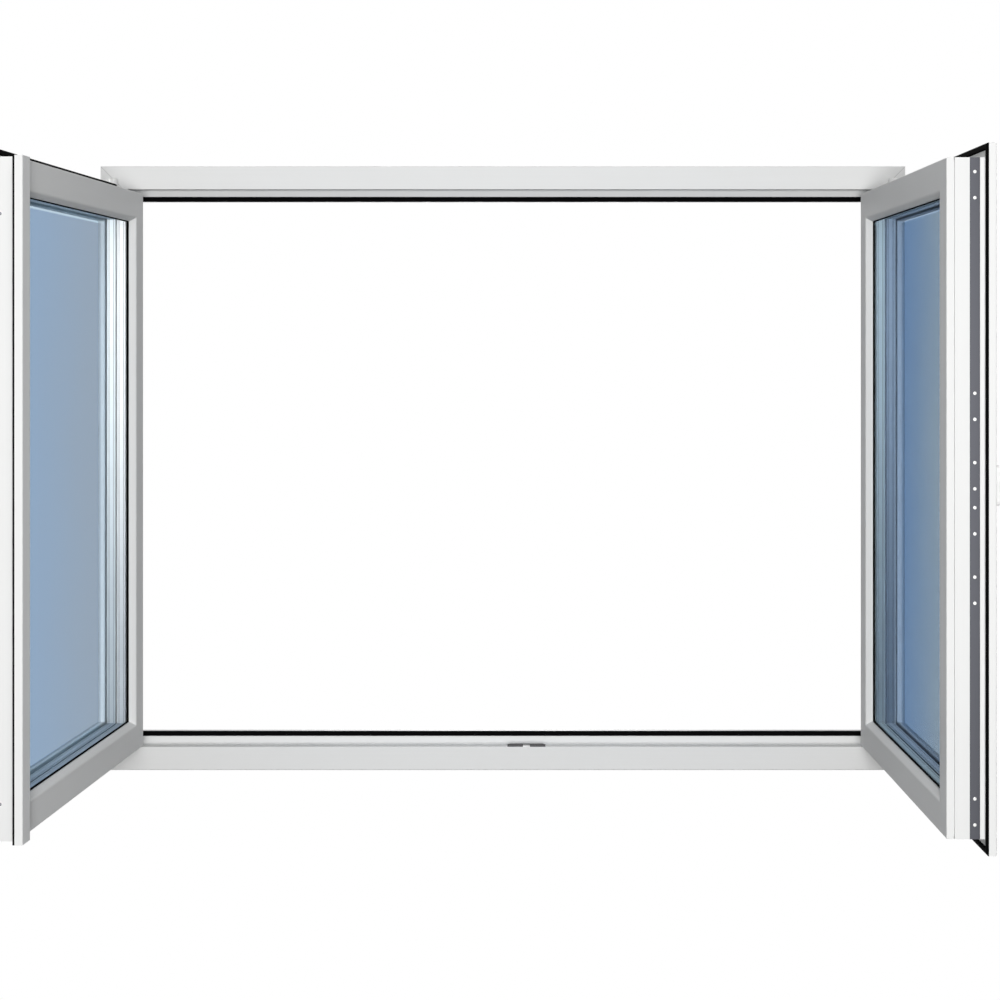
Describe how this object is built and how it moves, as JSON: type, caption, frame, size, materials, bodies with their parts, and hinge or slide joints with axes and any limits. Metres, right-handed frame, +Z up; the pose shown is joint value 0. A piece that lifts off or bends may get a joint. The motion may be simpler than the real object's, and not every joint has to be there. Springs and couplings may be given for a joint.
{
  "type": "double-leaf tilt-and-turn window",
  "caption": "White plastic inward-opening window with a welded frame, triple-glazed leaves swung open, a meeting post on one leaf and a handle on the other.",
  "frame": {"origin": "middle of the frame's underside, half way through its depth", "axes": "+X to the right seen from the room, +Y through the window towards the outside, +Z up"},
  "size_m": [1.6784, 0.8855, 1.2],
  "materials": {
    "white_plastic": "smooth satin white",
    "clear_glass": "clear, faintly blue",
    "spacer_metal": "brushed, perforated",
    "black_rubber": "matt black",
    "hardware_steel": "dull grey coating",
    "keep_zinc": "dark grey casting",
    "white_handle": "white lacquer"
  },
  "bodies": {
    "root": {"frame_sill": "white_plastic", "frame_left_jamb": "white_plastic", "frame_head": "white_plastic", "frame_right_jamb": "white_plastic", "meeting_post": "white_plastic", "meeting_post_end_caps": "white_plastic", "left_leaf_hinge_stile": "white_plastic", "left_leaf_hinge_bead": "white_plastic", "left_leaf_meeting_stile": "white_plastic", "left_leaf_meeting_bead": "white_plastic", "left_leaf_bottom_rail": "white_plastic", "left_leaf_bottom_bead": "white_plastic", "left_leaf_top_rail": "white_plastic", "left_leaf_top_bead": "white_plastic", "left_leaf_panes": "clear_glass", "left_leaf_spacers": "spacer_metal", "left_leaf_glazing_gaskets": "black_rubber", "left_leaf_overlap_seal": "black_rubber", "right_leaf_lock_stile": "white_plastic", "right_leaf_lock_bead": "white_plastic", "right_leaf_hinge_stile": "white_plastic", "right_leaf_hinge_bead": "white_plastic", "right_leaf_bottom_rail": "white_plastic", "right_leaf_bottom_bead": "white_plastic", "right_leaf_top_rail": "white_plastic", "right_leaf_top_bead": "white_plastic", "right_leaf_panes": "clear_glass", "right_leaf_spacers": "spacer_metal", "right_leaf_glazing_gaskets": "black_rubber", "right_leaf_overlap_seal": "black_rubber", "frame_seal": "black_rubber", "meeting_post_seal": "black_rubber", "lock_faceplates": "hardware_steel", "tilt_keep": "keep_zinc", "handle_rosette": "white_handle", "handle_lever": "white_handle", "left_bottom_hinge_on_frame": "white_handle", "left_bottom_hinge_on_leaf": "white_handle", "left_top_hinge_on_frame": "white_handle", "left_top_hinge_on_leaf": "white_handle", "right_bottom_hinge_on_frame": "white_handle", "right_bottom_hinge_on_leaf": "white_handle", "right_top_hinge_on_frame": "white_handle", "right_top_hinge_on_leaf": "white_handle"}
  },
  "joints": []
}
